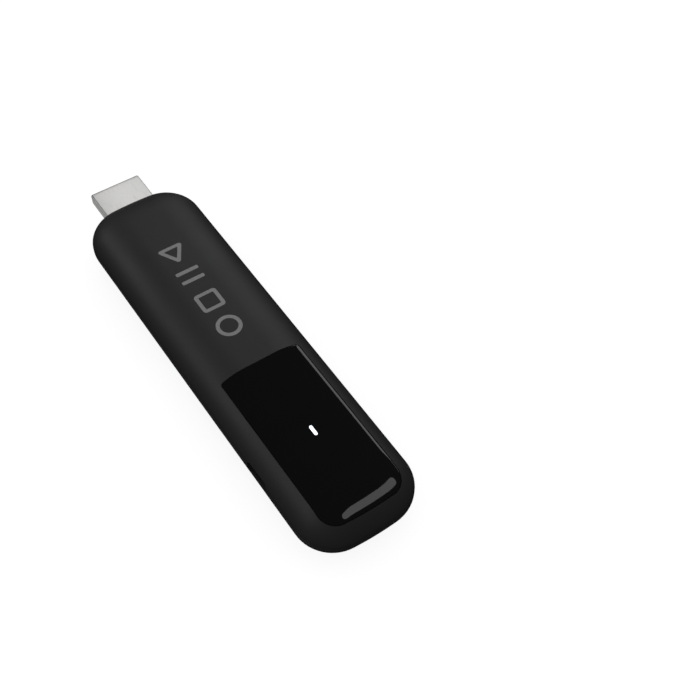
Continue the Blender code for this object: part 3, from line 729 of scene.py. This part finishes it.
# Fine print on the rear, tone on tone: eight broken rules and three rows of two plain rings.
# All of its measures are in millimetres, from the middle of the body.
RULE_EDGE = 8.0
RULE_PITCH = 1.9
BLOCK_HALF_WIDTH = 7.6
BLOCK_HALF_LENGTH = 10.2
BLOCK_Y = 7.6
RING_START = 17.9
RING_PITCH = 6.4
RING_ROWS_HALF = 1.5 * RING_PITCH
RING_X = 3.4
RING_RADIUS = 2.2
RING_HALF_LINE = 0.28
print_x = rear_plastic.along("X") * (1 / MM)
print_y = (rear_plastic.along("Y") - BODY_Y) * (1 / MM)
rule_number = (print_x + RULE_EDGE) * (1 / RULE_PITCH)
on_rule = abs(rule_number % 1.0 - 0.5) < 0.17
word_place = rear_plastic.node(
    "ShaderNodeCombineXYZ", {}, {0: rule_number - rule_number % 1.0, 1: print_y, 2: 0.0}
)
words = rear_plastic.node("ShaderNodeTexNoise", {}, {"Vector": word_place, "Scale": 0.9})
in_block = (abs(print_x) < BLOCK_HALF_WIDTH) * (abs(print_y - BLOCK_Y) < BLOCK_HALF_LENGTH)
rules = on_rule * in_block * (words > 0.47)
ring_rows = print_y - RING_START
ring_y = abs(ring_rows % RING_PITCH - RING_PITCH / 2)
ring_x = abs(abs(print_x) - RING_X)
ring_far = rear_plastic.node("ShaderNodeMath", {"operation": "POWER"}, {0: ring_y, 1: 2.0})
ring_wide = rear_plastic.node("ShaderNodeMath", {"operation": "POWER"}, {0: ring_x, 1: 2.0})
ring_gap = rear_plastic.node("ShaderNodeMath", {"operation": "SQRT"}, {0: ring_far + ring_wide})
on_ring = abs(ring_gap - RING_RADIUS) < RING_HALF_LINE
rings = on_ring * (abs(ring_rows - RING_ROWS_HALF) < RING_ROWS_HALF - 0.1)
marked = rules + rings
rear_plastic.colour(rear_plastic.blend(marked * 0.8, rear_tone, (0.062, 0.062, 0.063)))
rear_shell = moulded_shell("casing_rear", -1, SEAM_LIP, rear_plastic, "rear_shell")

# The plug hole and the power cut-out go through both shells.
PLUG_CLEARANCE = 0.1 * MM
PLUG_HOLE_DEPTH = 13 * MM
CUTOUT_HALF_LENGTH = 4.1 * MM
CUTOUT_HALF_HEIGHT = 1.9 * MM
CUTOUT_CORNER = 1.2 * MM
for shell in (front_shell, rear_shell):
    bm = bmesh.new()
    hole_corners = plug_corners(PLUG_CLEARANCE, NEAR_Y + MM)
    hole = rounded_face(bm, hole_corners, PLUG_BEND + PLUG_CLEARANCE)
    drawn_out(bm, hole, (0, -PLUG_HOLE_DEPTH, 0))
    cut_away(shell, make_piece("plug_hole_tool", bm, None, None))
    bm = bmesh.new()
    cutout_corners = oblong(
        (SOCKET_Y - CUTOUT_HALF_LENGTH, SEAM_Z - CUTOUT_HALF_HEIGHT),
        (SOCKET_Y + CUTOUT_HALF_LENGTH, SEAM_Z + CUTOUT_HALF_HEIGHT),
        lambda y, z: (-HALF_WIDTH - MM, y, z),
    )
    drawn_out(bm, rounded_face(bm, cutout_corners, CUTOUT_CORNER, 8), (WALL + 2 * MM, 0, 0))
    cut_away(shell, make_piece("power_cutout_tool", bm, None, None))

# ---- gloss panels -------------------------------------------------------------------------------
# A thin black acrylic window lies in a pocket on the far half of each face, held by a ring of
# double-sided tape.  Its surface carries on the crown of the shell, and its edge is polished.

PANEL_SIDE_RIM = 4.3 * MM
PANEL_END_RIM = 2.9 * MM
PANEL_CORNER = 0.7 * MM
PANEL_FAR_CORNER = 4.6 * MM
PANEL_THICKNESS = 0.8 * MM
FRONT_CUT_Y = BODY_Y - 8.6 * MM
REAR_CUT_Y = BODY_Y - 9.4 * MM
POCKET_DEPTH = 1.45 * MM  # straight down, to clear panel and tape where the crown slopes
POCKET_GAP = 0.07 * MM
POCKET_OPENING = 4 * MM
PLATE_RINGS = (0.0, 0.25, 0.6, 1.0, 1.5, 2.0, 2.6, 3.2, 3.8, 4.5, 5.2, 5.9, 6.6, 7.3, 8.0)  # mm
LIGHT_GAP = 0.06 * MM
LIGHT_LOW, LIGHT_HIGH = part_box("status_led")
LIGHT_Y = (LIGHT_LOW.y + LIGHT_HIGH.y) / 2
LIGHT_HALF_LENGTH = 1.36 * MM
LIGHT_HALF_WIDTH = 0.34 * MM


def is_outside(across, along, inset):
    """Whether a point lies outside the body's outline at one inset."""
    radius = CORNER_RADIUS - TIGHTEN * inset
    corner_x, rise, bow_y = end_centres(inset, inset, radius)
    if along <= bow_y + rise:
        return across > HALF_WIDTH - inset
    if math.atan2(along - bow_y, across) > math.atan2(rise, corner_x):
        return math.hypot(across, along - bow_y) > END_RADIUS - inset
    return math.hypot(across - corner_x, along - bow_y - rise) > radius


def crown(x, y):
    """Height of a face above the seam, on the crown that the shells and the panels share."""
    low, high = 0.0, SHOULDER_INSET
    for _ in range(28):
        inset = (low + high) / 2
        if is_outside(abs(x), abs(y - BODY_Y), inset):
            high = inset
        else:
            low = inset
    share = min(low / SHOULDER_INSET, 1.0)
    return SIDE_STRAIGHT + SHOULDER_HEIGHT * math.sqrt(1 - (1 - share) ** 2)


def panel_ring(bm, cut_y, shrink, z):
    """One flat outline of a panel, moved inward."""
    side_x = HALF_WIDTH - PANEL_SIDE_RIM - shrink
    corner = max(PANEL_CORNER - shrink, 0.1 * MM)
    top = cut_y - shrink
    far = max(PANEL_FAR_CORNER - shrink, 0.6 * MM)
    _, rise, bow_y = end_centres(PANEL_SIDE_RIM + shrink, PANEL_END_RIM + shrink, far)
    reach = bow_y + rise
    first = bm.verts.new((side_x, top - corner, z))
    last = sweep(bm, first, (side_x - corner, top - corner, z), math.pi / 2, 4)
    last = walk(bm, last, (corner - side_x, top, z), 12)
    last = sweep(bm, last, (corner - side_x, top - corner, z), math.pi / 2, 4)
    last = walk(bm, last, (-side_x, BODY_Y - reach, z), 16)
    last = round_end(bm, last, PANEL_SIDE_RIM + shrink, PANEL_END_RIM + shrink, far, -1)
    stride = (top - corner - BODY_Y + reach) / 16
    last = walk(bm, last, (side_x, top - corner - stride, z), 15)
    return close_outline(bm, first, last)


def light_ring(bm, grow, z):
    """The light's outline: a slot with round ends on the centre line."""
    radius = LIGHT_HALF_WIDTH + grow
    reach = LIGHT_HALF_LENGTH - LIGHT_HALF_WIDTH
    first = bm.verts.new((radius, LIGHT_Y + reach, z))
    last = sweep(bm, first, (0, LIGHT_Y + reach, z), math.pi, 12)
    last = walk(bm, last, (-radius, LIGHT_Y - reach, z), 1)
    last = sweep(bm, last, (0, LIGHT_Y - reach, z), math.pi, 12)
    return close_outline(bm, first, last)


def crowned_plate(bm, cut_y, grow, side, lift, light=False):
    """The open top surface of a plate, skinned in a stack of rings and then laid on the crown."""
    rings = [panel_ring(bm, cut_y, s * MM - grow, side * s * MM) for s in PLATE_RINGS]
    for outer, inner in zip(rings, rings[1:]):
        bmesh.ops.bridge_loops(bm, edges=outer + inner)
    if light:
        hole = light_ring(bm, LIGHT_GAP, side * 9 * MM)
        bmesh.ops.bridge_loops(bm, edges=rings[-1] + hole)
    else:
        bmesh.ops.contextual_create(bm, geom=rings[-1])
    for vert in bm.verts:
        vert.co.z = SEAM_Z + side * (crown(vert.co.x, vert.co.y) + lift)
    bmesh.ops.recalc_face_normals(bm, faces=bm.faces)
    if sum(face.normal.z for face in bm.faces) * side < 0:
        bmesh.ops.reverse_faces(bm, faces=bm.faces)


acrylic = Finish("black_acrylic", 0.05, IOR=1.49)
smudge = acrylic.ramp(acrylic.noise(0.045, 4.0), 0.5, 0.8)
acrylic_cloud = acrylic.noise(0.03)
acrylic.colour(acrylic.blend(acrylic_cloud, (0.0105, 0.0105, 0.0107), (0.0125, 0.0125, 0.0127)))
acrylic.roughness(0.035 + 0.05 * smudge)
acrylic.relief(acrylic.noise(0.12, 2.0), 0.0015 * MM, 0.5)

adhesive = Finish("adhesive_tape", 0.6)
adhesive_fibre = adhesive.noise(3.0, 4.0, adhesive.stretched(1.0, 0.25, 1.0))
adhesive.colour(adhesive.blend(adhesive_fibre, (0.66, 0.62, 0.52), (0.8, 0.77, 0.68)))
adhesive.roughness(0.5 + 0.25 * adhesive_fibre)
adhesive.relief(adhesive_fibre, 0.02 * MM)
dress(adhesive, "front_panel_tape", "rear_panel_tape")

for face, side, shell, cut_y in (
    ("front", 1, front_shell, FRONT_CUT_Y),
    ("rear", -1, rear_shell, REAR_CUT_Y),
):
    bm = bmesh.new()
    crowned_plate(bm, cut_y, POCKET_GAP, side, -POCKET_DEPTH)
    raised = bmesh.ops.extrude_face_region(bm, geom=bm.faces[:])["geom"]
    bmesh.ops.translate(bm, vec=(0, 0, side * POCKET_OPENING), verts=new_verts(raised))
    bmesh.ops.recalc_face_normals(bm, faces=bm.faces)
    cut_away(shell, make_piece(face + "_pocket_tool", bm, None, None))

    bm = bmesh.new()
    crowned_plate(bm, cut_y, 0.0, side, 0.0, light=side > 0)
    panel = make_piece(face + "_window", bm, acrylic, "gloss_panel", face + "_gloss_panel")
    wall(panel, PANEL_THICKNESS)
    soften(panel, 0.14 * MM, 3, 45.0)
    settle(panel)

# ---- status light -------------------------------------------------------------------------------
# A frosted light guide carries a white light-emitting diode's light from the board to the front.
# Its domed tip stands in a slot of the gloss panel, and a flange stops it behind the shell.

frosted = Finish("frosted_guide", 0.3, Emission_Strength=1.6)
frost = frosted.noise(3.0, 3.0)
frosted.colour(frosted.blend(frost, (0.84, 0.87, 0.9), (0.93, 0.94, 0.95)))
frosted.glow(frosted.blend(frost, (0.82, 0.9, 1.0), (0.95, 0.98, 1.0)))
frosted.roughness(0.26 + 0.12 * frost)
frosted.relief(frost, 0.004 * MM)

guide_low, guide_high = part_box("led_light_guide")
FLANGE_TOP = THICKNESS - WALL - 0.3 * MM
FLANGE_GROW = 0.9
bm = bmesh.new()
# Each level of the guide: how far the outline grows, in millimetres, and its height.
guide_levels = (
    (-0.2, guide_low.z),
    (0.0, guide_low.z + 0.2 * MM),
    (0.0, FLANGE_TOP - 0.7 * MM),
    (FLANGE_GROW, FLANGE_TOP - 0.67 * MM),
    (FLANGE_GROW, FLANGE_TOP),
    (0.0, FLANGE_TOP + 0.03 * MM),
    (0.0, guide_high.z - 0.06 * MM),
    (-0.05, guide_high.z - 0.02 * MM),
    (-0.16, guide_high.z - 0.002 * MM),
    (-0.3, guide_high.z),
)
loft(bm, [light_ring(bm, grow * MM, z) for grow, z in guide_levels])
guide = make_piece("status_light", bm, frosted, "light_guide", "led_light_guide")
settle(guide)

diode = Finish("diode_lens", 0.25, Emission_Strength=2.0)
diode_dome = diode.noise(2.0)
diode.colour(diode.blend(diode_dome, (0.9, 0.85, 0.6), (0.95, 0.93, 0.8)))
diode.glow(diode.blend(diode_dome, (0.9, 0.95, 1.0), WHITE))
diode.roughness(0.2 + 0.1 * diode_dome)
dress(diode, "status_led")

bm = bmesh.new()
loft(bm, [light_ring(bm, 0.2 * MM, z) for z in (THICKNESS - 4 * MM, THICKNESS + MM)])
cut_away(front_shell, make_piece("light_hole_tool", bm, None, None))

# ---- printed mark -------------------------------------------------------------------------------
# The near half of the front carries a mark in grey ink, pad printed on the flat of the shell.
# It is a plain row of player signs: start, hold, stop and record, in lines of about one width.

INK_LINE = 0.95 * MM
INK_HALF_HEIGHT = 3.0 * MM
INK_THICKNESS = 0.012 * MM
MARK_X = -0.6 * MM
MARK_Y = BODY_Y + 17.5 * MM
START_Y = MARK_Y + 13.4 * MM
START_RADIUS = 4.1 * MM
BARS_Y = (MARK_Y + 6.3 * MM, MARK_Y + 3.2 * MM)
STOP_Y = MARK_Y - 4.6 * MM
STOP_RADIUS = 4.2 * MM
RECORD_Y = MARK_Y - 13.6 * MM
RECORD_RADIUS = INK_HALF_HEIGHT + 0.15 * MM
RECORD_SIDES = 36

ink = Finish("grey_ink", 0.45)
ink_wear = ink.ramp(ink.noise(2.4, 5.0), 0.3, 0.5)
ink.colour(ink.blend(ink_wear, (0.19, 0.19, 0.193), (0.28, 0.28, 0.283)))
ink.roughness(0.38 + 0.16 * ink.noise(8.0))
ink.relief(ink.noise(8.0, 3.0), 0.006 * MM)


def sign_face(bm, centre_y, radius, sides, turn, corner, z):
    """A regular figure with rounded corners."""
    corners = []
    for number in range(sides):
        angle = turn + 2 * math.pi * number / sides
        x = MARK_X + radius * math.cos(angle)
        corners.append((x, centre_y + radius * math.sin(angle), z))
    return rounded_face(bm, corners, corner, 6)


def outlined_sign(bm, centre_y, radius, sides, turn, corner):
    """A closed sign drawn in one line: its outer figure bridged to a smaller one inside it."""
    inner_radius = radius - INK_LINE / math.cos(math.pi / sides)
    outer = sign_face(bm, centre_y, radius, sides, turn, corner, 0.0)
    inner = sign_face(bm, centre_y, inner_radius, sides, turn, corner * 0.3, MM)
    rims = list(outer.edges) + list(inner.edges)
    bmesh.ops.delete(bm, geom=[outer, inner], context="FACES_ONLY")
    bmesh.ops.bridge_loops(bm, edges=rims)


bm = bmesh.new()
outlined_sign(bm, START_Y, START_RADIUS, 3, -math.pi / 2, 1.2 * MM)
outlined_sign(bm, STOP_Y, STOP_RADIUS, 4, math.pi / 4, 0.9 * MM)
outlined_sign(bm, RECORD_Y, RECORD_RADIUS, RECORD_SIDES, 0.0, 0.1 * MM)
for bar_y in BARS_Y:
    bar_low = (MARK_X - INK_HALF_HEIGHT, bar_y - INK_LINE * 0.55)
    bar_high = (MARK_X + INK_HALF_HEIGHT, bar_y + INK_LINE * 0.55)
    rounded_face(bm, oblong(bar_low, bar_high, lambda x, y: (x, y, 0.0)), 0.3 * MM)
for vert in bm.verts:
    vert.co.z = THICKNESS
bmesh.ops.recalc_face_normals(bm, faces=bm.faces)
for face in bm.faces:
    if face.normal.z < 0:
        face.normal_flip()
mark = make_piece("printed_mark", bm, ink, "matt_shell")
wall(mark, INK_THICKNESS, 1.0)
settle(mark)

# ---- studio -------------------------------------------------------------------------------------
# The stick lies on a white sweep inside a pale tent that gives an even light.  Softboxes light the
# casing and the plug one by one, and a strip and a round-ended card show in the gloss windows.

FLOOR_HALF = 3.0
LIGHT_DISTANCE = 0.8
PLUG_LIGHT_DISTANCE = 0.5


def lined_with_light(piece, glow):
    """Make a piece of the set glow evenly, unseen by the camera and casting no shadow."""
    shine = Finish(piece.name + "_glow", 1.0, Emission_Strength=glow, Specular_IOR_Level=0.0)
    shine.colour(BLACK)
    shine.glow(WHITE)
    piece.data.materials.append(shine.material)
    piece.visible_camera = False
    piece.visible_shadow = False
    piece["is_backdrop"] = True


bm = bmesh.new()
bmesh.ops.create_grid(bm, x_segments=8, y_segments=8, size=FLOOR_HALF)
floor = make_piece("studio_floor", bm, None, None)
paper = Finish("white_paper", 0.9, Emission_Strength=0.86, Specular_IOR_Level=0.0)
paper.colour(paper.blend(paper.noise(0.002), (0.5, 0.5, 0.5), (0.53, 0.53, 0.53)))
paper.glow(WHITE)
floor.data.materials.append(paper.material)
floor.visible_glossy = False
floor.visible_diffuse = False
floor.visible_shadow = False
floor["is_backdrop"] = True


def light_dome(name, radius, glow):
    """A pale tent round the whole set that gives an even light."""
    bm = bmesh.new()
    bmesh.ops.create_uvsphere(bm, u_segments=24, v_segments=12, radius=radius)
    tent = make_piece(name, bm, None, None)
    lined_with_light(tent, glow)
    return tent


light_dome("studio_dome", 2 * FLOOR_HALF, 0.34).visible_glossy = False
metal_tent = light_dome("metal_tent", 1.9 * FLOOR_HALF, 0.17)
metal_tent.visible_diffuse = False

world = bpy.data.worlds.new("studio_air")
world.use_nodes = True
world.node_tree.nodes["Background"].inputs["Color"].default_value = (*WHITE, 1.0)
world.cycles_visibility.glossy = False
world.cycles_visibility.diffuse = False
bpy.context.scene.world = world

MIDDLE = Vector((0.0, BODY_Y - 20 * MM, THICKNESS))


def softbox(name, direction, distance, width, height, glow, upright=(0, 0, 1)):
    """A rectangular light that faces the stick; glow is its brightness to the eye."""
    lamp = bpy.data.lights.new(name, "AREA")
    lamp.shape = "RECTANGLE"
    lamp.size = width
    lamp.size_y = height
    lamp.energy = glow * width * height * math.pi
    lit = bpy.data.objects.new(name, lamp)
    bpy.context.scene.collection.objects.link(lit)
    away = Vector(direction).normalized()
    across = Vector(upright).cross(away).normalized()
    up = away.cross(across)
    turn = Matrix((across, up, away)).transposed().to_4x4()
    lit.matrix_world = Matrix.Translation(MIDDLE + away * distance) @ turn
    lit.visible_camera = False
    return lit


def light_card(name, direction, distance, width, height, glow, upright):
    """A glowing card with round ends, seen only as a reflection."""
    away = Vector(direction).normalized()
    across = Vector(upright).cross(away).normalized() * (width / 2)
    up = away.cross(across).normalized() * (height / 2)
    centre = MIDDLE + away * distance
    bm = bmesh.new()
    corners = oblong((-1, -1), (1, 1), lambda x, y: centre + across * x + up * y)
    rounded_face(bm, corners, height * 0.49, 8)
    card = make_piece(name, bm, None, None)
    card.visible_diffuse = False
    lined_with_light(card, glow)
    return card


def light_only(name, pieces, *lights):
    """Keep lights to some pieces, as flags and snoots do in a studio."""
    group = bpy.data.collections.new(name)
    for piece in pieces:
        group.objects.link(piece)
    for light in lights:
        light.light_linking.receiver_collection = group


light_only(
    "lit_windows",
    [bpy.data.objects["front_window"], bpy.data.objects["rear_window"]],
    softbox("edge_strip", (0.85, 0.42, 0.27), LIGHT_DISTANCE, 0.8, 0.12, 1.5),
    light_card("end_card", (0.45, -0.44, 0.83), LIGHT_DISTANCE, 0.8, 0.22, 1.5, (0.3, 0, 1)),
)
light_only(
    "lit_casing",
    [front_shell, rear_shell, mark],
    softbox("shoulder_light", (-0.64, 0.45, 0.6), LIGHT_DISTANCE, 0.22, 1.1, 1.7, (0, 1, 0)),
    softbox("face_light", (0.6, 0.5, 0.62), LIGHT_DISTANCE, 0.6, 0.8, 0.9, (0, 1, 0)),
)
light_only(
    "lit_plug",
    [plug_shell, insulator],
    metal_tent,
    softbox("plug_light", (0.347, 0.483, 0.804), PLUG_LIGHT_DISTANCE, 0.5, 0.5, 0.86),
    softbox("plug_left", (-0.80, 0.48, 0.35), PLUG_LIGHT_DISTANCE, 0.22, 0.4, 1.6),
    softbox("plug_right", (0.80, 0.48, -0.35), PLUG_LIGHT_DISTANCE, 0.45, 0.45, 1.2),
    softbox("plug_bounce", (-0.35, 0.48, -0.80), PLUG_LIGHT_DISTANCE, 0.45, 0.45, 0.22),
)

CAMERA_LENS = 58.43  # in the unit of the sensor's width
CAMERA_SENSOR = 36.0
CAMERA_PLACE = (-71.81 * MM, -148.19 * MM, 225.42 * MM)
CAMERA_LOOK = (0.3471, 0.48343, -0.80363)
CAMERA_RIGHT = (0.82652, -0.56261, 0.01855)
camera_data = bpy.data.cameras.new("camera")
camera_data.lens = CAMERA_LENS
camera_data.sensor_width = CAMERA_SENSOR
camera_data.clip_start = 0.01
camera_data.clip_end = 20.0
camera = bpy.data.objects.new("camera", camera_data)
bpy.context.scene.collection.objects.link(camera)
look = Vector(CAMERA_LOOK).normalized()
right = Vector(CAMERA_RIGHT)
right = (right - look * right.dot(look)).normalized()
stance = Matrix((right, right.cross(look), -look)).transposed().to_4x4()
camera.matrix_world = Matrix.Translation(CAMERA_PLACE) @ stance
bpy.context.scene.camera = camera
bpy.context.scene.view_settings.view_transform = "Standard"

# ---- size ---------------------------------------------------------------------------------------
# The box of what is shown.

low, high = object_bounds()
